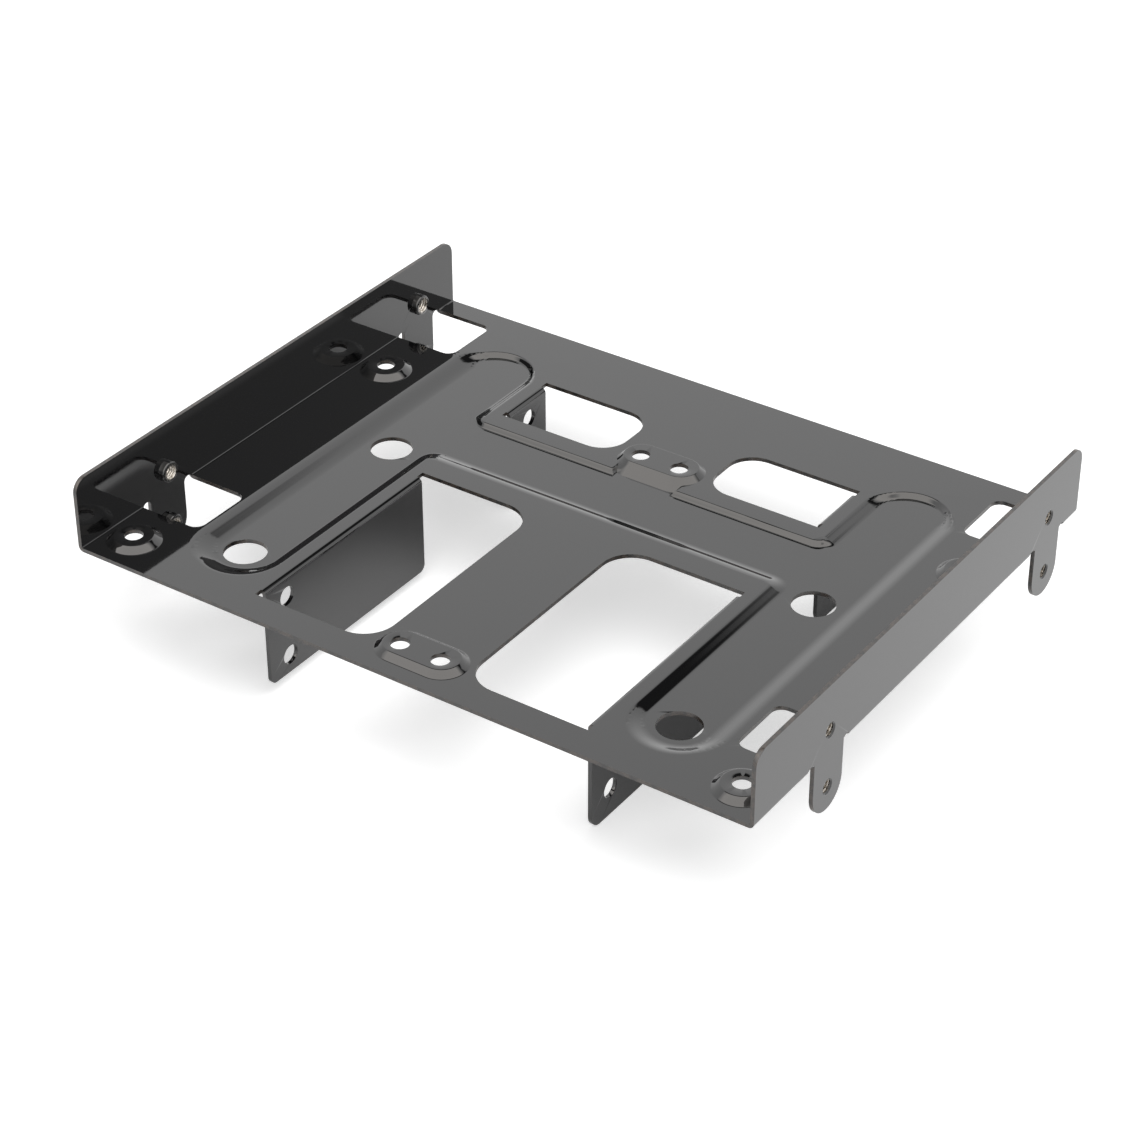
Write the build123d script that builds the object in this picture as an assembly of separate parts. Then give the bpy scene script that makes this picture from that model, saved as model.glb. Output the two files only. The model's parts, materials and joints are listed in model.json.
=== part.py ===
from build123d import *
import os
from math import radians, tan

os.makedirs("parts", exist_ok=True)

# Drive bay adapter bracket: one folded steel sheet. Millimetres, +X to the right, +Y to the rear, +Z up.
# The origin is under the middle of the bracket, level with the lowest edge that it stands on.

# Sheet
sheet = 0.8
bend_inner = 0.3
width = 146.0
depth = 115.3

# Side flanges, folded up
flange_height = 14.2
flange_corner = 2.8

# Rows of tapped holes in the sides
side_hole_y = 24.0
side_hole_pitch = 79.25
side_hole_upper = 4.6
side_row_pitch = 11.84
tap_bore = 2.5
collar_outer = 4.3
collar_height = 1.3
collar_mouth = 0.3

# Side tabs and the openings that they are folded out of
tab_width = 9.6
side_window_depth = 14.3
side_window_length = 14.1
side_window_corner = 2.2
side_relief_rise = 0.45

# Openings in the middle of the plate
front_window_inner = 9.65
front_window_y = 6.35
front_window_length = 50.25
front_window_corner = 6.4
rear_window_inner = 10.45
rear_window_y = 82.75
rear_window_length = 15.3
rear_window_corner = 5.6

# Flaps folded down at the outer edges of those openings, facing a drive between them
flap_gap = 70.3
front_flap_relief_front = 1.65
front_flap_relief_rear = 1.7
rear_flap_relief_front = 1.35
rear_flap_relief_rear = 1.85
left_flap_depth = 20.9
left_flap_corner = 1.5
right_flap_depth = 22.9
right_flap_corner = 2.7
flap_hole = 3.9
flap_hole_y = 13.8
flap_hole_pitch = 76.6
flap_hole_upper = 4.2
flap_hole_lower = 17.2

# Recess shaped like the letter H, pressed down
recess_depth = 1.0
recess_wall_angle = 57.0
bar_land = 3.275
bar_to_boss_row = 10.375
bar_front = 9.6
bar_rear_land = 11.55
crossbar_front_land = 6.8
crossbar_rear_land = 4.3
crossbar_corner = 2.3
recess_edge_radius = 0.55

# Large holes in the recess
large_hole = 8.3
large_hole_y = 17.25
large_hole_pitch_y = 44.45

# Raised bosses, and the holes in them
boss_height = 1.1
boss_wall_angle = 41.0
drive_hole = 3.6
corner_boss_edge = 6.9
corner_boss_land = 0.66
oval_hole_x = 4.38
oval_boss_top = 3.6
oval_boss_set_back = 0.5
boss_row_y = 7.55
boss_row_pitch = 76.6
boss_edge_radius = 0.3
notch_half_width = 7.2

# Derived sizes
past = 5.0
cut_length = 2 * (recess_depth + sheet + past)
bend_outer = bend_inner + sheet
flap_face = flap_gap / 2
fold_x = flap_face + bend_outer
flange_inner = width / 2 - sheet
side_window_inner = width / 2 - side_window_depth
front_flap_y = front_window_y + front_flap_relief_front
front_flap_length = front_window_length - front_flap_relief_front - front_flap_relief_rear
rear_flap_y = rear_window_y + rear_flap_relief_front
rear_flap_length = rear_window_length - rear_flap_relief_front - rear_flap_relief_rear
corner_boss_x = width / 2 - corner_boss_edge
bar_inner = fold_x + bar_land
bar_outer = corner_boss_x - bar_to_boss_row
bar_x = (bar_inner + bar_outer) / 2
bar_half_width = (bar_outer - bar_inner) / 2
bar_rear = depth - bar_rear_land
crossbar_front = front_window_y + front_window_length + crossbar_front_land
crossbar_rear = rear_window_y - crossbar_rear_land
recess_run = recess_depth / tan(radians(recess_wall_angle))
recess_grow = sheet * tan(radians(recess_wall_angle / 2))
boss_run = boss_height / tan(radians(boss_wall_angle))
corner_boss_top = corner_boss_edge - sheet - bend_inner - corner_boss_land - boss_run
boss_shrink = sheet * tan(radians(boss_wall_angle / 2))
side_hole_ys = (side_hole_y, side_hole_y + side_hole_pitch)
boss_row_ys = (boss_row_y, boss_row_y + boss_row_pitch)
oval_boss_ys = (boss_row_ys[0] + oval_boss_set_back, boss_row_ys[1] + oval_boss_set_back)


def both_sides(shape):
    """The shape and its mirror image across the middle of the bracket."""
    return [shape, mirror(shape, Plane.YZ)]


def flat_edges(body, z, x0, x1, y0, y1):
    """Edges that lie flat at one height, inside a window of the plan."""
    found = []
    for edge in body.edges():
        bounds = edge.bounding_box()
        level = abs(bounds.min.Z - z) < 1e-4 and abs(bounds.max.Z - z) < 1e-4
        across = bounds.min.X > x0 and bounds.max.X < x1
        along = bounds.min.Y > y0 and bounds.max.Y < y1
        if level and across and along:
            found.append(edge)
    return found


def folded_channel():
    """The plate with its two flanges: a channel section with round folds, run from front to rear."""
    outer = Rectangle(width, flange_height + sheet + bend_outer)
    outer = Pos(0, (flange_height + sheet + bend_outer) / 2 - sheet) * outer
    corners = outer.vertices().filter_by_position(Axis.Y, -sheet - 0.01, -sheet + 0.01)
    outer = fillet(corners, bend_outer)
    inner = Rectangle(width - 2 * sheet, flange_height + 2 * bend_outer)
    inner = Pos(0, flange_height / 2 + bend_outer) * inner
    corners = inner.vertices().filter_by_position(Axis.Y, -0.01, 0.01)
    inner = fillet(corners, bend_inner)
    above = Pos(0, flange_height + past) * Rectangle(width + past, 2 * past)
    section = Plane.XZ * (outer - inner - above)
    channel = extrude(section, depth, dir=(0, 1, 0))
    tops = channel.edges().filter_by(Axis.X)
    tops = tops.filter_by_position(Axis.Z, flange_height - 0.01, flange_height + 0.01)
    return fillet(tops, flange_corner)


def recess_outline(grow, merge_rear):
    """Plan of the recess: two bars with round ends, a crossbar, and the notch under the rear oval boss."""
    reach = bar_half_width + grow
    length = bar_rear - bar_front + 2 * grow
    bar = Rot(0, 0, 90) * SlotOverall(length, 2 * reach)
    middle = (bar_rear + bar_front) / 2
    outline = Pos(bar_x, middle) * bar + Pos(-bar_x, middle) * bar
    tall = crossbar_rear - crossbar_front + 2 * grow
    outline += Pos(0, (crossbar_rear + crossbar_front) / 2) * Rectangle(2 * bar_x, tall)
    corners = outline.vertices().filter_by_position(Axis.X, grow - bar_x + 1, bar_x - grow - 1)
    outline = fillet(corners, crossbar_corner - grow)
    notch = merge_rear - crossbar_front
    outline += Pos(0, crossbar_front + notch / 2) * Rectangle(2 * (notch_half_width + grow), notch)
    return outline


def tapered(outline, z, height, angle, up):
    """A plan shape run up or down from a height, with its walls leaning inwards."""
    way = 1 if up else -1
    return extrude(Pos(0, 0, z) * outline, height, dir=(0, 0, way), taper=90 - angle)


def oval(radius):
    """Plan of an oval boss: a slot along the width, round its two holes."""
    return SlotOverall(2 * (oval_hole_x + radius), 2 * radius)


def raised(plan, low):
    """A boss with leaning walls and a rounded upper edge, from a low level up to its full height."""
    solid = tapered(plan, low, boss_height - low, boss_wall_angle, True)
    return fillet(flat_edges(solid, boss_height, -width, width, -depth, 2 * depth), boss_edge_radius)


def boss_plans(shrink):
    """Foot plans of the bosses that stand clear of the recess, each in its place."""
    round_plan = Circle(corner_boss_top + boss_run - shrink)
    plans = [Pos(side * corner_boss_x, y) * round_plan for y in boss_row_ys for side in (-1, 1)]
    return plans + [Pos(0, oval_boss_ys[0]) * oval(oval_boss_top + boss_run - shrink)]


def hollow(plan):
    """The hollow under a boss, which leaves the sheet's own thickness."""
    return tapered(plan, -sheet, boss_height, boss_wall_angle, True)


def recess_space():
    """The room of the recess, with its floor's edge rounded."""
    outline = recess_outline(0, oval_boss_ys[1] - oval_boss_top)
    space = tapered(outline, 0, recess_depth, recess_wall_angle, False)
    floor = flat_edges(space, -recess_depth, -width, width, -depth, 2 * depth)
    return fillet(floor, recess_edge_radius)


def recess_backing():
    """The sheet pushed out under the recess."""
    rear = oval_boss_ys[1] - oval_boss_top - boss_run - recess_grow / 2
    outline = recess_outline(recess_grow, max(rear, crossbar_rear + recess_grow))
    return tapered(outline, -sheet, recess_depth, recess_wall_angle, False)


def rear_oval_boss(space):
    """The rear oval boss, whose front wall runs on down into the recess in one long slope."""
    drop = recess_depth / tan(radians(boss_wall_angle))
    plan = Pos(0, oval_boss_ys[1]) * oval(oval_boss_top + boss_run + drop)
    skirt = raised(plan, -recess_depth)
    room = Pos(0, oval_boss_ys[1], boss_height) * Box(width, depth, 2 * (boss_height + sheet * 0.75))
    return skirt & (space + room)


def pressed_plate():
    """The channel with its recess and bosses pressed in, and the edges of their walls rounded."""
    space = recess_space()
    body = folded_channel() + recess_backing() - space
    reach = bar_x + bar_half_width + 1
    shoulder = flat_edges(body, 0, -reach, reach, bar_front - 1, bar_rear + 1)
    body = fillet(shoulder, recess_edge_radius)
    for plan in boss_plans(0):
        body += raised(plan, 0)
        box = plan.bounding_box()
        foot = flat_edges(body, 0, box.min.X - 0.1, box.max.X + 0.1, box.min.Y - 0.1, box.max.Y + 0.1)
        body = fillet(foot, boss_edge_radius)
    body += rear_oval_boss(space)
    for plan in boss_plans(boss_shrink):
        body -= hollow(plan)
    rear_plan = Pos(0, oval_boss_ys[1]) * oval(oval_boss_top + boss_run - boss_shrink)
    return body - hollow(rear_plan)


def window_cutter(inner, y, length, corner):
    """The cutter of one right-hand opening in the middle of the plate, rounded towards the middle."""
    plan = Pos((inner + fold_x) / 2, y + length / 2) * Rectangle(fold_x - inner, length)
    plan = fillet(plan.vertices().filter_by_position(Axis.X, inner - 0.01, inner + 0.01), corner)
    return extrude(Pos(0, 0, -past) * plan, 2 * past)


def flap(y, length, drop, corner, side):
    """A flap folded down at the outer edge of an opening; side is 1 on the right and -1 on the left."""
    ring = Circle(bend_outer) - Circle(bend_inner)
    quarter = Pos(-bend_outer / 2, bend_outer / 2) * Rectangle(bend_outer, bend_outer)
    section = Pos(fold_x, -bend_outer) * (ring & quarter)
    leaf = Rectangle(sheet, drop - bend_outer)
    section += Pos(flap_face + sheet / 2, -(drop + bend_outer) / 2) * leaf
    solid = extrude(Plane.XZ * section, length, dir=(0, 1, 0))
    solid = Pos(0, y) * solid
    lower = solid.edges().filter_by(Axis.X).filter_by_position(Axis.Z, -drop - 0.01, -drop + 0.01)
    solid = fillet(lower, corner)
    for z in (-flap_hole_upper, -flap_hole_lower):
        row = flap_hole_y if y < depth / 2 else flap_hole_y + flap_hole_pitch
        solid -= Pos(flap_face, row, z) * Rot(0, 90, 0) * Cylinder(flap_hole / 2, 4 * sheet)
    return solid if side > 0 else mirror(solid, Plane.YZ)


def side_window_cutter(hole_y):
    """The right-hand opening that a side tab is folded out of, with its round reliefs beside the tab."""
    y0 = hole_y - side_window_length / 2
    y1 = hole_y + side_window_length / 2
    reach = flange_inner - side_window_inner
    plan = Pos(side_window_inner + reach / 2, hole_y) * Rectangle(reach, side_window_length)
    corners = plan.vertices().filter_by_position(Axis.X, side_window_inner - 0.01, side_window_inner + 0.01)
    plan = fillet(corners, side_window_corner)
    cutter = extrude(Pos(0, 0, -past) * plan, 2 * past)
    relief = (side_window_length - tab_width) / 2
    rise = side_relief_rise - relief / 2
    under_fold = Box(4 * bend_outer, side_window_length, past + rise)
    cutter += Pos(flange_inner, hole_y, (rise - past) / 2) * under_fold
    for y in (y0 + relief / 2, y1 - relief / 2):
        cutter += Pos(flange_inner, y, rise) * Rot(0, 90, 0) * Cylinder(relief / 2, 4 * bend_outer)
    return cutter


def side_tab(hole_y):
    """A right-hand tab in the plane of the flange, reaching down to a round end about its hole."""
    low = side_hole_upper - side_row_pitch
    high = side_hole_upper
    plan = Pos(hole_y, low) * Circle(tab_width / 2)
    plan += Pos(hole_y, (low + high) / 2) * Rectangle(tab_width, high - low)
    return extrude(Plane.YZ.offset(flange_inner) * plan, sheet, dir=(1, 0, 0))


def tapped_collar(y, z):
    """The extruded collar of a right-hand tapped hole, standing on the inner face."""
    length = collar_height + sheet / 2
    solid = Cylinder(collar_outer / 2, length, align=(Align.CENTER, Align.CENTER, Align.MIN))
    return Pos(flange_inner - collar_height, y, z) * Rot(0, 90, 0) * solid


def tap_cutter(y, z):
    """The bore of a right-hand tapped hole, with the wider mouth that the punch leaves on the outer face."""
    bore = Rot(0, 90, 0) * Cylinder(tap_bore / 2, 2 * (sheet + collar_height + past))
    mouth = Cone(tap_bore / 2, tap_bore / 2 + 2 * collar_mouth, 2 * collar_mouth)
    return Pos(width / 2, y, z) * (bore + Rot(0, 90, 0) * mouth)


def plate_holes():
    """Cutters of the plain round holes in the recess and the bosses."""
    cutters = []
    for y in boss_row_ys:
        cutters += both_sides(Pos(corner_boss_x, y) * Cylinder(drive_hole / 2, cut_length))
        cutters += both_sides(Pos(oval_hole_x, y) * Cylinder(drive_hole / 2, cut_length))
    for y in (large_hole_y, large_hole_y + large_hole_pitch_y):
        cutters += both_sides(Pos(bar_x, y) * Cylinder(large_hole / 2, cut_length))
    return cutters


def bracket():
    """The whole folded sheet."""
    body = pressed_plate()
    front = window_cutter(front_window_inner, front_window_y, front_window_length, front_window_corner)
    rear = window_cutter(rear_window_inner, rear_window_y, rear_window_length, rear_window_corner)
    body -= both_sides(front) + both_sides(rear) + plate_holes()
    for side, drop, corner in ((-1, left_flap_depth, left_flap_corner), (1, right_flap_depth, right_flap_corner)):
        body += flap(front_flap_y, front_flap_length, drop, corner, side)
        body += flap(rear_flap_y, rear_flap_length, drop, corner, side)
    for y in side_hole_ys:
        body -= both_sides(side_window_cutter(y))
        body += both_sides(side_tab(y))
        for z in (side_hole_upper, side_hole_upper - side_row_pitch):
            body += both_sides(tapped_collar(y, z))
            body -= both_sides(tap_cutter(y, z))
    lowest = max(left_flap_depth, right_flap_depth)
    return Pos(0, -depth / 2, lowest) * body


part = bracket()
part.label = "bracket"
print("solids", len(part.solids()), "volume", round(part.volume, 1), "valid", part.is_valid)
export_step(part, "parts/bracket.step")
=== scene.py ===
# %% [markdown]
# # Drive bay adapter bracket
# One folded steel sheet that carries small drives in a wide drive bay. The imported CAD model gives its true
# shape and size, and this script dresses it: finer edges, threads, enamel, a floor and soft light.
# The model is loaded first, because every later step measures itself on it.

import json
from math import cos, hypot, radians, sin

import bpy
from mathutils import Matrix, Vector

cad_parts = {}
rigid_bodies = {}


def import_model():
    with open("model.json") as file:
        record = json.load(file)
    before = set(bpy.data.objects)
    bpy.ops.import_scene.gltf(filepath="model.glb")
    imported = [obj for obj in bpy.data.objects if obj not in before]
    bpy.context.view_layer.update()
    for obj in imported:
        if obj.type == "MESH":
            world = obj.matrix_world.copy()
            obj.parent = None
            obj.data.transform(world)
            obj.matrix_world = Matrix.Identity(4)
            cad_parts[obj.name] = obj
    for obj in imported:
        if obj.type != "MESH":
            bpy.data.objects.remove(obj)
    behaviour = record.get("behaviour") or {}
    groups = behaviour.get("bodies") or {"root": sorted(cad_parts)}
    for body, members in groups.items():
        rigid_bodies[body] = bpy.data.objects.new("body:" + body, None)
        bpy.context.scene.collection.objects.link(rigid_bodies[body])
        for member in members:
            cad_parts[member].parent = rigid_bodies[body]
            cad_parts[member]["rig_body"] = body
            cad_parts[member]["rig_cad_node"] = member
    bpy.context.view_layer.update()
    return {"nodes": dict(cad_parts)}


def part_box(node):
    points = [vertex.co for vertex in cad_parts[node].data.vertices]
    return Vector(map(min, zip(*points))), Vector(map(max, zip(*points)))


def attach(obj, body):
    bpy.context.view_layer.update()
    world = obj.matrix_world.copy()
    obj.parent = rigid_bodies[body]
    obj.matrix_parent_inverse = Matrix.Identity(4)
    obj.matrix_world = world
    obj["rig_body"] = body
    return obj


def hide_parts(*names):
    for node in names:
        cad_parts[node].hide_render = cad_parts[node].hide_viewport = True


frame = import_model()
MM = 0.001
body_low, body_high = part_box("bracket")
print("bracket from", [round(v / MM, 2) for v in body_low], "to", [round(v / MM, 2) for v in body_high], "mm")

# %% [markdown]
# The camera stands high at the right front corner, far away with a long lens, as a product picture is taken.
# Its place can be guessed and tried, or solved from points whose real place is known. Here it was solved from
# the bracket's holes and corners, so the numbers have decimals. A turn of a small part of a degree levels it.

# %% Camera
EYE = Vector((266.76, -391.11, 328.37)) * MM
BACK = Vector((0.4736, -0.6856, 0.5529)).normalized()
ROLL = radians(-0.12216)
FOCAL_LENGTH, SENSOR_WIDTH = 96.14, 36.0
NEAREST, FARTHEST = 0.01, 50.0

level = Vector((0, 0, 1)).cross(BACK).normalized()
upright = BACK.cross(level)
across = level * cos(ROLL) + upright * sin(ROLL)
upward = upright * cos(ROLL) - level * sin(ROLL)

lens = bpy.data.cameras.new("camera")
lens.sensor_fit = "HORIZONTAL"
lens.sensor_width = SENSOR_WIDTH
lens.lens = FOCAL_LENGTH
lens.clip_start = NEAREST
lens.clip_end = FARTHEST
camera = bpy.data.objects.new("camera", lens)
bpy.context.scene.collection.objects.link(camera)
camera.matrix_world = Matrix.Translation(EYE) @ Matrix((across, upward, BACK)).transposed().to_4x4()
bpy.context.scene.camera = camera
bpy.context.scene.view_settings.view_transform = "Standard"
print("camera", round(EYE.length / MM), "mm from the origin, lens", lens.lens)

# %% [markdown]
# The skin that is shown is a copy of the CAD solid's mesh. It could be modelled afresh, but a copy keeps every
# hole and fold where the CAD solid has it. That mesh is loose triangles, so its doubles are merged first.
# Neighbours then share their points, and the later steps can tell a sharp edge from a smooth one.

# %% Copy the sheet and close its mesh
MERGE = 0.002 * MM


def only(piece):
    """Selects one piece alone, and makes it the active one."""
    bpy.ops.object.select_all(action="DESELECT")
    piece.hide_set(False)
    piece.select_set(True)
    bpy.context.view_layer.objects.active = piece


node = frame["nodes"]["bracket"]
sheet = node.copy()
sheet.data = node.data.copy()
sheet.name = "folded_sheet"
sheet.data.name = "folded_sheet"
sheet.parent = None
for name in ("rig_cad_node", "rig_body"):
    if name in sheet:
        del sheet[name]
bpy.context.scene.collection.objects.link(sheet)
only(sheet)
bpy.ops.mesh.customdata_custom_splitnormals_clear()
bpy.ops.object.mode_set(mode="EDIT")
bpy.ops.mesh.select_all(action="SELECT")
bpy.ops.mesh.remove_doubles(threshold=MERGE)
bpy.ops.mesh.normals_make_consistent(inside=False)
bpy.ops.mesh.select_all(action="DESELECT")
bpy.ops.mesh.select_non_manifold()
bpy.ops.object.mode_set(mode="OBJECT")
open_edges = sum(edge.select for edge in sheet.data.edges)
print("sheet:", len(sheet.data.polygons), "faces,", open_edges, "open edges")

# %% [markdown]
# Several steps below work on a few edges of the sheet. By hand they would be picked with the mouse. In code they
# are picked by a test, and then one edit-mode operator runs on them.


# %% Pick edges and edit them
def pick_edges(piece, wanted):
    """Selects the edges that pass a test and nothing else, and counts them."""
    bpy.context.tool_settings.mesh_select_mode = (False, True, False)
    for item in list(piece.data.vertices) + list(piece.data.polygons):
        item.select = False
    for edge in piece.data.edges:
        edge.select = bool(wanted(edge))
    return sum(edge.select for edge in piece.data.edges)


def edit_picked(piece, operator, **settings):
    """Runs one edit-mode operator on the edges that are selected."""
    only(piece)
    bpy.ops.object.mode_set(mode="EDIT")
    operator(**settings)
    bpy.ops.object.mode_set(mode="OBJECT")
    bpy.context.tool_settings.mesh_select_mode = (True, False, False)


def cut_across(piece, find, least, cuts):
    """Cuts a wall into bands: its edges that run across it, further than the least, are subdivided."""
    places = [find(vertex.co) for vertex in piece.data.vertices]

    def runs_across(edge):
        a, b = (places[index] for index in edge.vertices)
        return a and b and a[0] == b[0] and abs(a[1] - b[1]) > least

    picked = pick_edges(piece, runs_across)
    edit_picked(piece, bpy.ops.mesh.subdivide, number_cuts=cuts)
    return picked


def eased(t):
    """A smooth step from 0 to 1."""
    t = min(max(t, 0), 1)
    return t * t * (3 - 2 * t)


# %% [markdown]
# The recess is an H: two long bars with round ends, and a crossbar. A press never draws it with crisp walls on
# every side. The walls that face the front are steep, and the others run down softly, so they catch a soft band
# of light. A bump in the material would bend that light, but not the shape. So the outline of the recess is
# written down first, and it tells for each point which wall it is in and which way that wall faces.

# %% Find the walls of the recess
PLATE_TOP, PLATE_UNDER = 22.9 * MM, 22.1 * MM
DROP = 1.0 * MM
BAR_X, BAR_REACH = 47.625 * MM, 8.1 * MM
BAR_FRONT, BAR_REAR = -48.05 * MM, 46.1 * MM
CROSS_FRONT, CROSS_REAR, CROSS_CORNER = 5.75 * MM, 20.8 * MM, 2.3 * MM
WALL_RUN = 0.65 * MM
UNDER_SHIFT = 0.434 * MM
UPPER_REACH, UNDER_REACH = 0.625 * MM, 0.325 * MM
STEEP_BEYOND = -0.75
MARGIN, OVER_TOP = 1.05, 0.01 * MM


def recess_wall(u, y):
    """How far a point is outside the recess's upper outline, and the way that the wall there faces."""
    inner = BAR_X - BAR_REACH
    middle = (CROSS_FRONT + CROSS_REAR) / 2
    ahead = y < middle
    wall_y = CROSS_FRONT if ahead else CROSS_REAR
    way = 1 if ahead else -1
    corner_y = wall_y - way * CROSS_CORNER
    if u < inner - CROSS_CORNER:
        return (wall_y - y) * way, Vector((0, way, 0))
    if u < BAR_X and (y - corner_y) * way > 0:
        out = Vector((u - inner + CROSS_CORNER, y - corner_y, 0))
        return CROSS_CORNER - out.length, out.normalized()
    centre_y = min(max(y, BAR_FRONT + BAR_REACH), BAR_REAR - BAR_REACH)
    out = Vector((u - BAR_X, y - centre_y, 0))
    return out.length - BAR_REACH, -out.normalized()


def place_in_wall(point):
    """Which skin's wall a point is in, how far it is from the wall's middle line, and the way it faces."""
    if not PLATE_UNDER - MARGIN * DROP < point.z < PLATE_TOP + OVER_TOP:
        return None
    outside, facing = recess_wall(abs(point.x), point.y)
    top = PLATE_TOP - DROP * min(max(-outside / WALL_RUN, 0), 1)
    under = PLATE_UNDER - DROP * min(max((UNDER_SHIFT - outside) / WALL_RUN, 0), 1)
    upper = abs(point.z - top) < abs(point.z - under)
    off = outside + WALL_RUN / 2 - (0 if upper else UNDER_SHIFT)
    reach = UPPER_REACH if upper else UNDER_REACH
    return (upper, off, facing) if abs(off) < MARGIN * reach and facing.y > STEEP_BEYOND else None


print("points in the recess's walls:", sum(place_in_wall(vertex.co) is not None for vertex in sheet.data.vertices))

# %% [markdown]
# Each soft wall is cut into bands. Then each of its points is moved across the wall, away from its middle line,
# by a factor that depends on the way the wall faces, and gets its height from a smooth step. Walls that face the
# rear and the bars' outer walls are wider than the others. The left bar's outer wall is the softest, most of all
# at its front. Near the walls that face the front the change fades out.

# %% Soften the walls of the recess
SOFTER, WIDER, SOFTEST = 2.24, 3.5, 5.0
LESS_AT_REAR = 0.3
ACROSS_RECESS = 0.02 * MM

print("edges cut:", cut_across(sheet, place_in_wall, least=ACROSS_RECESS, cuts=2))
moved = 0
for vertex in sheet.data.vertices:
    found = place_in_wall(vertex.co)
    if found is None:
        continue
    upper, off, facing = found
    share = eased((facing.y - STEEP_BEYOND) / -STEEP_BEYOND)
    rearward = min(max((vertex.co.y - BAR_FRONT) / (BAR_REAR - BAR_FRONT), 0), 1)
    most = SOFTEST + (SOFTER - SOFTEST) * LESS_AT_REAR * rearward if vertex.co.x < 0 else WIDER
    softer = SOFTER + max((most - SOFTER) * eased(-facing.x), (WIDER - SOFTER) * eased(facing.y))
    reach, level = (UPPER_REACH, PLATE_TOP) if upper else (UNDER_REACH, PLATE_UNDER)
    shift = facing * -off * (softer * UPPER_REACH / reach - 1) * share
    depth = DROP * (1 - eased((off / reach + 1) / 2))
    vertex.co.x += shift.x if vertex.co.x > 0 else -shift.x
    vertex.co.y += shift.y
    vertex.co.z += (level - depth - vertex.co.z) * share
    moved += 1
print("points of the recess's walls moved:", moved)

# %% [markdown]
# A boss is pressed up over a die, and the sheet flows round the die's edge, so its wall has no straight part. A
# cone with small fillets would show each reflection with a hard end. So the wall is cut into bands, and its
# points are set on a smooth step, a little wider than the cone was. The rear oval boss runs down into the recess
# and stays as the CAD model has it.

# %% Round the walls of the bosses
BOSS_RISE, BOSS_RUN, BOSS_ROUND = 1.1 * MM, 1.265 * MM, 0.112 * MM
BOSS_SOFTER = 1.2
ROUND_TOP, OVAL_TOP = 3.875 * MM, 3.6 * MM
ROUND_X, ROUND_YS = 66.1 * MM, (-50.1 * MM, 26.5 * MM)
OVAL_X, OVAL_Y = 4.38 * MM, -49.6 * MM
BELOW_SKIN, ABOVE_SKIN = 0.4 * MM, 0.1 * MM
BOSS_FROM, BOSS_TO = -1.2 * BOSS_ROUND, BOSS_RUN + 3 * BOSS_ROUND


def boss_wall(point):
    """True for the upper skin, how far a point is outside the nearest boss's top outline, and the way out."""
    u, y = abs(point.x), point.y
    round_y = min(ROUND_YS, key=lambda place: abs(y - place))
    out = Vector((u - ROUND_X, y - round_y, 0))
    outside = out.length - ROUND_TOP
    if u < ROUND_X / 2:
        out = Vector((max(u - OVAL_X, 0), y - OVAL_Y, 0))
        outside = out.length - OVAL_TOP
    if not BOSS_FROM < outside < BOSS_TO:
        return None
    skin = PLATE_TOP + BOSS_RISE * (1 - min(max(outside / BOSS_RUN, 0), 1))
    return (True, outside, out.normalized()) if skin - BELOW_SKIN < point.z < skin + ABOVE_SKIN else None


print("edges cut:", cut_across(sheet, boss_wall, least=BOSS_RUN / 2, cuts=3))
half = BOSS_SOFTER * (BOSS_RUN / 2 + BOSS_ROUND)
moved = 0
for vertex in sheet.data.vertices:
    found = boss_wall(vertex.co)
    if found is None:
        continue
    off = found[1] - BOSS_RUN / 2
    shift = found[2] * off * (BOSS_SOFTER - 1)
    vertex.co.x += shift.x if vertex.co.x > 0 else -shift.x
    vertex.co.y += shift.y
    vertex.co.z = PLATE_TOP + BOSS_RISE * (1 - eased((BOSS_SOFTER * off / half + 1) / 2))
    moved += 1
print("points of the bosses' walls moved:", moved)

# %% [markdown]
# The punch that draws a collar for a thread rounds its rim. A wider bevel on those round edges gives that, and
# it is what catches the small rings of light. The Bevel modifier of the next step has one width for all edges,
# so here the rims are picked by their place and bevelled in edit mode.

# %% Round the collars of the tapped holes
TAP_YS, TAP_ZS = (-33.65, 45.6), (27.5, 15.66)
TAP_PLACES = [(side, y * MM, z * MM) for side in (-1, 1) for y in TAP_YS for z in TAP_ZS]
RIM_X, FACE_X = 70.9 * MM, 73.0 * MM
RIM_FROM, RIM_TO = 2.0 * MM, 2.3 * MM
RIM_ROUND, RIM_NEAR = 0.32 * MM, 0.02 * MM
SHARP = radians(50)


def from_tap(x, y, z):
    """Distance from the axis of the nearest tapped hole on that side."""
    return min(hypot(y - tap_y, z - tap_z) for side, tap_y, tap_z in TAP_PLACES if side * x >= 0)


def bevel_edges(piece, wanted, width, segments):
    """Bevels the sharp edges whose two ends both pass a test."""
    points = [wanted(*vertex.co) for vertex in piece.data.vertices]
    normals = {}
    for face in piece.data.polygons:
        for key in face.edge_keys:
            normals.setdefault(key, []).append(face.normal)

    def sharp_and_wanted(edge):
        a, b = edge.vertices
        first, last = normals[edge.key][0], normals[edge.key][-1]
        return points[a] and points[b] and first.angle(last) > SHARP

    picked = pick_edges(piece, sharp_and_wanted)
    edit_picked(piece, bpy.ops.mesh.bevel, offset=width, segments=segments, affect="EDGES", clamp_overlap=True)
    return picked


def on_rim(x, y, z):
    """Whether a point is on the outer edge of a collar's rim."""
    return abs(abs(x) - RIM_X) < RIM_NEAR and RIM_FROM < from_tap(x, y, z) < RIM_TO


print("edges of rims rounded:", bevel_edges(sheet, on_rim, width=RIM_ROUND, segments=3))

# %% [markdown]
# A punch and a shear leave an edge that looks sharp but is a little round, and the enamel rounds it further.
# That roundness is what catches a thin line of light. A bevel of a tenth of a millimetre on every sharp edge
# gives it, and a modifier finds those edges by their angle.

# %% Break the sharp edges
EDGE = 0.09 * MM


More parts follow.
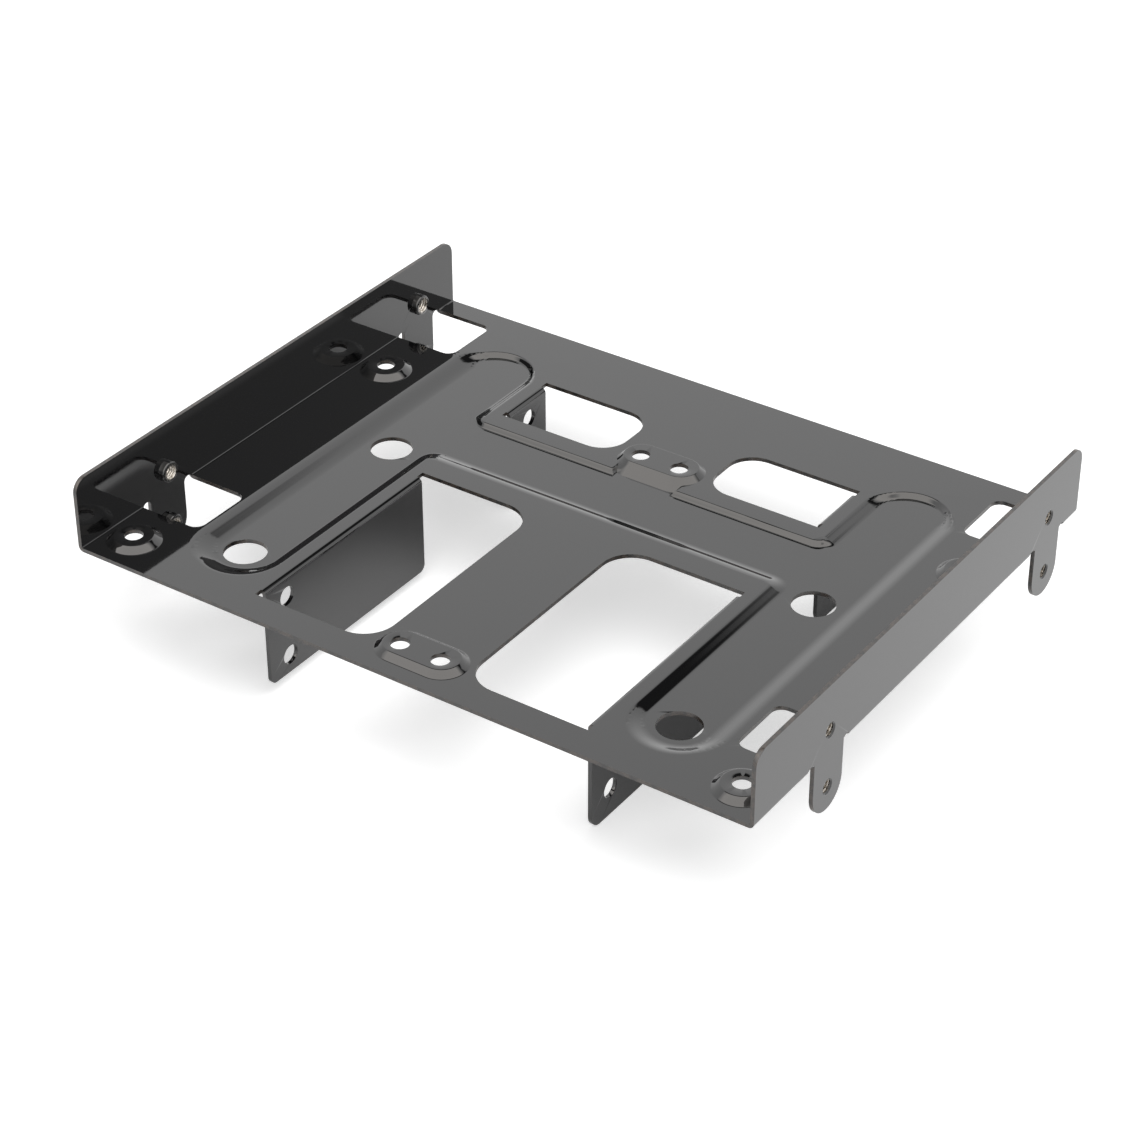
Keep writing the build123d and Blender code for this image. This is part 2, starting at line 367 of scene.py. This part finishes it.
def apply_modifier(piece, kind, **settings):
    """Adds one modifier with its settings and applies it."""
    only(piece)
    modifier = piece.modifiers.new(kind.lower(), kind)
    for name, value in settings.items():
        setattr(modifier, name, value)
    bpy.ops.object.modifier_apply(modifier=modifier.name)


apply_modifier(sheet, "BEVEL", width=EDGE, segments=2, limit_method="ANGLE", angle_limit=SHARP,
               use_clamp_overlap=True, miter_outer="MITER_SHARP", harden_normals=False)
print("sheet with broken edges:", len(sheet.data.polygons), "faces")

# %% [markdown]
# A tap cuts a thread into each collar. A texture would look flat at the mouth, so the thread is cut as shape. A
# small three-sided profile, swept round the hole's axis by the screw modifier, makes one cutter.

# %% Model the thread's cutter
PITCH = 0.5 * MM
MINOR, MAJOR = 1.2 * MM, 1.5 * MM
PROFILE = 0.46 * PITCH
TURNS, STEPS = 7, 20
WELD = 0.001 * MM


def thread_cutter():
    """One closed helical tube along X, with its middle at the origin."""
    bpy.ops.object.select_all(action="DESELECT")
    bpy.ops.mesh.primitive_circle_add(vertices=3, radius=PITCH, fill_type="NGON", location=(0, 0, 0))
    cutter = bpy.context.object
    for vertex, place in zip(cutter.data.vertices, ((-PROFILE, 0, MINOR), (PROFILE, 0, MINOR), (0, 0, MAJOR))):
        vertex.co = place
    bpy.ops.object.mode_set(mode="EDIT")
    bpy.ops.mesh.select_all(action="SELECT")
    bpy.ops.mesh.delete(type="ONLY_FACE")
    bpy.ops.object.mode_set(mode="OBJECT")
    apply_modifier(cutter, "SCREW", axis="X", screw_offset=PITCH, iterations=TURNS, steps=STEPS,
                   render_steps=STEPS, use_merge_vertices=True, merge_threshold=WELD)
    only(cutter)
    bpy.ops.object.mode_set(mode="EDIT")
    bpy.ops.mesh.select_all(action="SELECT")
    bpy.ops.mesh.remove_doubles(threshold=WELD)
    bpy.ops.mesh.select_all(action="DESELECT")
    bpy.ops.mesh.select_non_manifold()
    bpy.ops.mesh.fill_holes(sides=3)
    bpy.ops.mesh.select_all(action="SELECT")
    bpy.ops.mesh.normals_make_consistent(inside=False)
    bpy.ops.object.mode_set(mode="OBJECT")
    for vertex in cutter.data.vertices:
        vertex.co.x -= TURNS * PITCH / 2
    return cutter


cutter = thread_cutter()
print("thread cutter:", len(cutter.data.polygons), "faces")

# %% [markdown]
# The cutter is copied to each hole. On the other side it is turned half round, never mirrored, so every thread
# stays right-handed. The copies are joined, and one Boolean difference takes them all away.

# %% Cut the threads
cutters = []
for side, y, z in TAP_PLACES:
    copy = cutter.copy()
    copy.data = cutter.data.copy()
    bpy.context.scene.collection.objects.link(copy)
    middle = Vector((side * (RIM_X + FACE_X) / 2, y, z))
    for vertex in copy.data.vertices:
        vertex.co = middle + Vector((side * vertex.co.x, side * vertex.co.y, vertex.co.z))
    cutters.append(copy)
bpy.ops.object.select_all(action="DESELECT")
for copy in cutters:
    copy.select_set(True)
bpy.context.view_layer.objects.active = cutters[0]
bpy.ops.object.join()
before = len(sheet.data.polygons)
apply_modifier(sheet, "BOOLEAN", operation="DIFFERENCE", object=cutters[0], solver="EXACT")
bpy.data.objects.remove(cutters[0], do_unlink=True)
bpy.data.objects.remove(cutter, do_unlink=True)
print("faces added by the threads:", len(sheet.data.polygons) - before)

# %% [markdown]
# Plain smooth shading would bend the reflections in the flat faces beside each round edge. Weighted normals let
# the large flat faces keep their own direction, and the small rounds take up the whole turn.

# %% Shade the sheet
SMOOTH_UP_TO = radians(35)

only(sheet)
bpy.ops.object.shade_smooth_by_angle(angle=SMOOTH_UP_TO)
apply_modifier(sheet, "WEIGHTED_NORMAL", mode="FACE_AREA", weight=50, keep_sharp=True)
print("smooth faces:", sum(face.use_smooth for face in sheet.data.polygons))

# %% [markdown]
# A finish is a small network of nodes. Written with Python's own operators it reads like a formula, so one
# small class wraps a socket: an expression on it adds Math nodes, and one method makes any other node.


# %% Write node maths as Python
class Wire:
    """The output of a shader node. Operators on it add Math nodes."""

    def __init__(self, socket):
        self.socket = socket

    @classmethod
    def node(cls, tree, kind, settings=None, inputs=None, output=0):
        """Any node: its settings first, then the values or wires of its sockets."""
        made = tree.nodes.new(kind)
        for name, value in (settings or {}).items():
            if name == "stops":
                ramp = made.color_ramp.elements
                while len(ramp) < len(value):
                    ramp.new(0.5)
                for element, (place, grey) in zip(ramp, value):
                    element.position = place
                    element.color = (grey, grey, grey, 1) if isinstance(grey, (int, float)) else grey
            else:
                setattr(made, name, value)
        for name, value in (inputs or {}).items():
            if isinstance(value, Wire):
                tree.links.new(value.socket, made.inputs[name])
            else:
                made.inputs[name].default_value = value
        return cls(made.outputs[output]) if made.outputs else None

    def maths(self, operation, first, second):
        """A Math node on two values or wires."""
        tree = self.socket.id_data
        return Wire.node(tree, "ShaderNodeMath", {"operation": operation}, {0: first, 1: second})

    def __add__(self, other):
        return self.maths("ADD", self, other)

    __radd__ = __add__

    def __sub__(self, other):
        return self.maths("SUBTRACT", self, other)

    def __rsub__(self, other):
        return self.maths("SUBTRACT", other, self)

    def __mul__(self, other):
        return self.maths("MULTIPLY", self, other)

    __rmul__ = __mul__


def new_material(name):
    """An empty material and its tree, ready for the nodes."""
    material = bpy.data.materials.new(name)
    material.use_nodes = True
    material.node_tree.nodes.clear()
    return material, material.node_tree


def lumps(tree, size, detail, roughness=0.5):
    """A pattern of lumps that stays on the piece."""
    place = Wire.node(tree, "ShaderNodeTexCoord", output="Object")
    return Wire.node(tree, "ShaderNodeTexNoise", {},
                     {"Vector": place, "Scale": size, "Detail": detail, "Roughness": roughness})


def ramp(tree, factor, *stops):
    """A ramp of greys or colours, each at its place from 0 to 1."""
    return Wire.node(tree, "ShaderNodeValToRGB", {"stops": stops}, {"Fac": factor})


def bumps(tree, height, depth):
    """A normal that is bent by a height."""
    return Wire.node(tree, "ShaderNodeBump", {}, {"Height": height, "Strength": 1.0, "Distance": depth})


def show_surface(tree, **inputs):
    """The main shader and the material's output."""
    named = {name.replace("_", " "): value for name, value in inputs.items()}
    surface = Wire.node(tree, "ShaderNodeBsdfPrincipled", {}, named)
    Wire.node(tree, "ShaderNodeOutputMaterial", {}, {"Surface": surface})


# %% [markdown]
# The enamel is a thin black coat, baked on, so glossy that it is almost a mirror. Its own colour is nearly
# black, and what is seen is the room in it. Real enamel is never quite flat: it has a faint orange peel, and
# a little dust makes some places less sharp. Two noises give that, a fine one and a coarse one.

# %% Enamel
PEEL_SIZE, PEEL_DEPTH = 900.0, 0.0006 * MM
DUST_SIZE = 60.0
CLEAN, DUSTY = 0.03, 0.03
COAT_IOR = 1.62

enamel, tree = new_material("black_enamel")
peel = lumps(tree, PEEL_SIZE, 1.0)
dust = lumps(tree, DUST_SIZE, 4.0)
show_surface(tree, Base_Color=(0.003, 0.003, 0.0033, 1.0), Roughness=CLEAN + DUSTY * dust, IOR=COAT_IOR,
             Normal=bumps(tree, peel, PEEL_DEPTH))
print("enamel:", len(tree.nodes), "nodes")

# %% [markdown]
# Where the shear and the punch cut the sheet, the coat runs thin over a torn face and looks brown and dull. One
# strong noise makes all of it: where it is high, the brown shows through, the coat is duller and stands up.

# %% Thin coat of the cut edges
TORN_SIZE, TORN_DEPTH = 700.0, 0.02 * MM
PALE, DEEP = (0.045, 0.034, 0.027, 1.0), (0.006, 0.005, 0.0045, 1.0)

thin_coat, tree = new_material("thin_coat")
torn = lumps(tree, TORN_SIZE, 6.0, 0.65)
show_surface(tree, Base_Color=ramp(tree, torn, (0.42, DEEP), (0.56, PALE)), Roughness=0.24 + 0.2 * torn,
             IOR=COAT_IOR, Normal=bumps(tree, torn, TORN_DEPTH))
print("thin coat:", len(tree.nodes), "nodes")

# %% [markdown]
# The tap works after the coat is baked, so the threads are bare steel and glint in their holes. Steel is a metal
# in the shader, and its colour is that of its reflection. Chips and oil make it darker in places.

# %% Bare steel of the threads
CHIP_SIZE = 1500.0
DULL_STEEL, BRIGHT_STEEL = (0.24, 0.22, 0.19, 1.0), (0.64, 0.60, 0.55, 1.0)

bare_steel, tree = new_material("bare_steel")
chips = lumps(tree, CHIP_SIZE, 2.0)
show_surface(tree, Base_Color=ramp(tree, chips, (0.35, DULL_STEEL), (0.62, BRIGHT_STEEL)),
             Roughness=0.14 + 0.2 * chips, Metallic=1.0)
print("bare steel:", len(tree.nodes), "nodes")

# %% [markdown]
# The coat, the cut edges and the threads are one piece of metal, so they are one object with three materials. A
# face is a cut face when it stands on the edge of the sheet. The way it faces and where it is tell that, and a
# thread's faces are near the axis of its hole.

# %% Give each face its finish
THREAD_REACH, THREAD_DEPTH = 1.52 * MM, 1.75 * MM
COLLAR_REACH = 2.6 * MM
FLANGE_X, FLANGE_TOP = 72.15 * MM, 37.0 * MM
FLAP_FROM, FLAP_TO = 34.3 * MM, 35.2 * MM
FOLD_TOP, FOLD_UNDER = 21.9 * MM, 21.0 * MM
ALONG, UPRIGHT, ENDWAYS, LEVEL = 0.08, 0.05, 0.3, 0.95


def is_thread(centre):
    """Whether a face is in a thread, behind the hole's mouth."""
    return 0 < abs(centre.x) - RIM_X < THREAD_DEPTH and from_tap(*centre) < THREAD_REACH


def is_cut(centre, normal):
    """Whether a face is on a cut edge of the sheet."""
    u = abs(centre.x)
    if from_tap(*centre) < COLLAR_REACH:
        return False
    if u > FLANGE_X:
        on_end = abs(normal.y) > ENDWAYS or centre.z < FOLD_UNDER
        on_top = normal.z > LEVEL and centre.z > FLANGE_TOP
        return abs(normal.x) < ALONG and (on_end or on_top)
    if FLAP_FROM < u < FLAP_TO and centre.z < FOLD_TOP:
        return abs(normal.x) < ALONG
    return abs(normal.z) < UPRIGHT and centre.z > FOLD_UNDER


sheet.data.materials.clear()
for material in (enamel, thin_coat, bare_steel):
    sheet.data.materials.append(material)
for face in sheet.data.polygons:
    face.material_index = 2 if is_thread(face.center) else int(is_cut(face.center, face.normal))
finishes = [face.material_index for face in sheet.data.polygons]
print("faces on cut edges:", finishes.count(1), "and in threads:", finishes.count(2))
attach(sheet, "root")
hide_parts("bracket")

# %% [markdown]
# The floor is a plain pale sheet of card. A picture on white needs the floor to come out white without more
# light on the bracket, so a part of its brightness is its own, and only the camera and the reflections see it.

# %% Floor
FLOOR_HALF = 4.0
CARD_GREY = 0.82
CAMERA_GLOW = 0.54
MIRROR_WHITE, MIRROR_GLOW = 0.53, 0.14

pale_floor, tree = new_material("pale_floor")
camera_ray = Wire.node(tree, "ShaderNodeLightPath", output="Is Camera Ray")
mirror_ray = Wire.node(tree, "ShaderNodeLightPath", output="Is Glossy Ray")
glass_ray = Wire.node(tree, "ShaderNodeLightPath", output="Is Transmission Ray")
card = Wire.node(tree, "ShaderNodeBsdfDiffuse", {}, {"Color": CARD_GREY + MIRROR_WHITE * mirror_ray})
glow = Wire.node(tree, "ShaderNodeEmission", {}, {
    "Color": (1, 1, 1, 1), "Strength": CAMERA_GLOW * (camera_ray + glass_ray) + MIRROR_GLOW * mirror_ray})
both = Wire.node(tree, "ShaderNodeAddShader", {}, {0: card, 1: glow})
Wire.node(tree, "ShaderNodeOutputMaterial", {}, {"Surface": both})

bpy.ops.object.select_all(action="DESELECT")
bpy.ops.mesh.primitive_plane_add(size=2 * FLOOR_HALF, location=(0, 0, 0))
floor = bpy.context.object
floor.name = "floor"
floor.data.materials.append(pale_floor)
print("floor:", 2 * FLOOR_HALF, "m wide")

# %% [markdown]
# A glossy black coat shows the room more than its own colour, so the room is designed for its reflections. It
# is white up to about 45 degrees and dark overhead, as a studio with white walls and a dark ceiling is. Two
# bright, faintly warm patches high at the front and the right run together, and the steep walls that face the
# front show them. The light that the room gives is a plain grey-white, stronger from the right and the rear.

# %% World
WALL_LEVEL, WALL_SLANT = 1.55, (0.17, 0.0, 1.0)
CEILING = 0.04
KEY_LEVEL, WARM = 3.4, (1, 0.965, 0.93, 1)
KEY_WAY, SIDE_WAY = (0.03, -0.5, 0.865), (0.45, 0.05, 0.89)
AMBIENT, AMBIENT_TILT = 0.6, (0.7, 0.3, 0.0)
FACTOR, COLOUR_A, COLOUR_B, COLOUR_OUT = 0, 6, 7, 2

world = bpy.data.worlds.new("studio")
bpy.context.scene.world = world
world.use_nodes = True
tree = world.node_tree
tree.nodes.clear()
direction = Wire.node(tree, "ShaderNodeTexCoord", output="Generated")


def along(way):
    """How far each direction of the room points along one way."""
    return Wire.node(tree, "ShaderNodeVectorMath", {"operation": "DOT_PRODUCT"}, {0: direction, 1: way},
                     output="Value")


walls = ramp(tree, along(WALL_SLANT), (0.0, 1.0), (0.675, 1.0), (0.72, CEILING), (1.0, CEILING))
front = ramp(tree, along(KEY_WAY), (0.64, 0.0), (0.80, 1.0))
side = ramp(tree, along(SIDE_WAY), (0.80, 0.0), (0.92, 1.0))
key = 1 - (1 - front) * (1 - side)
camera_ray = Wire.node(tree, "ShaderNodeLightPath", output="Is Camera Ray")
mirror_ray = Wire.node(tree, "ShaderNodeLightPath", output="Is Glossy Ray")
mirrored = walls * WALL_LEVEL * (1 - key) + key * KEY_LEVEL
lighting = (1 - camera_ray) * (1 - mirror_ray) * (AMBIENT * along(AMBIENT_TILT) + AMBIENT)
tint = Wire.node(tree, "ShaderNodeMix", {"data_type": "RGBA"},
                 {FACTOR: key * mirror_ray, COLOUR_A: (1, 1, 1, 1), COLOUR_B: WARM}, output=COLOUR_OUT)
backdrop = Wire.node(tree, "ShaderNodeBackground", {}, {
    "Color": tint, "Strength": camera_ray + mirror_ray * mirrored + lighting})
Wire.node(tree, "ShaderNodeOutputWorld", {}, {"Surface": backdrop})
print("world:", len(tree.nodes), "nodes")

# %% [markdown]
# One large softbox stands high up at the right front. It gives the floor its soft shadow and fills the dark
# coat a little. The camera and the reflections don't see it, because the room above already has its picture.

# %% Softbox
AZIMUTH, ELEVATION = radians(48), radians(68)
DISTANCE, SIDE_LENGTH = 1.4, 1.2
RADIANCE = 1.9

lamp = bpy.data.lights.new("key", "AREA")
lamp.shape = "RECTANGLE"
lamp.size = SIDE_LENGTH
lamp.size_y = SIDE_LENGTH
lamp.energy = RADIANCE * 4 * SIDE_LENGTH * SIDE_LENGTH
softbox = bpy.data.objects.new("key", lamp)
bpy.context.scene.collection.objects.link(softbox)
way = Vector((sin(AZIMUTH) * cos(ELEVATION), -cos(AZIMUTH) * cos(ELEVATION), sin(ELEVATION)))
softbox.location = way * DISTANCE
softbox.rotation_euler = way.to_track_quat("Z", "Y").to_euler()
softbox.visible_camera = False
softbox.visible_glossy = False
print("softbox:", round(lamp.energy, 2), "W")
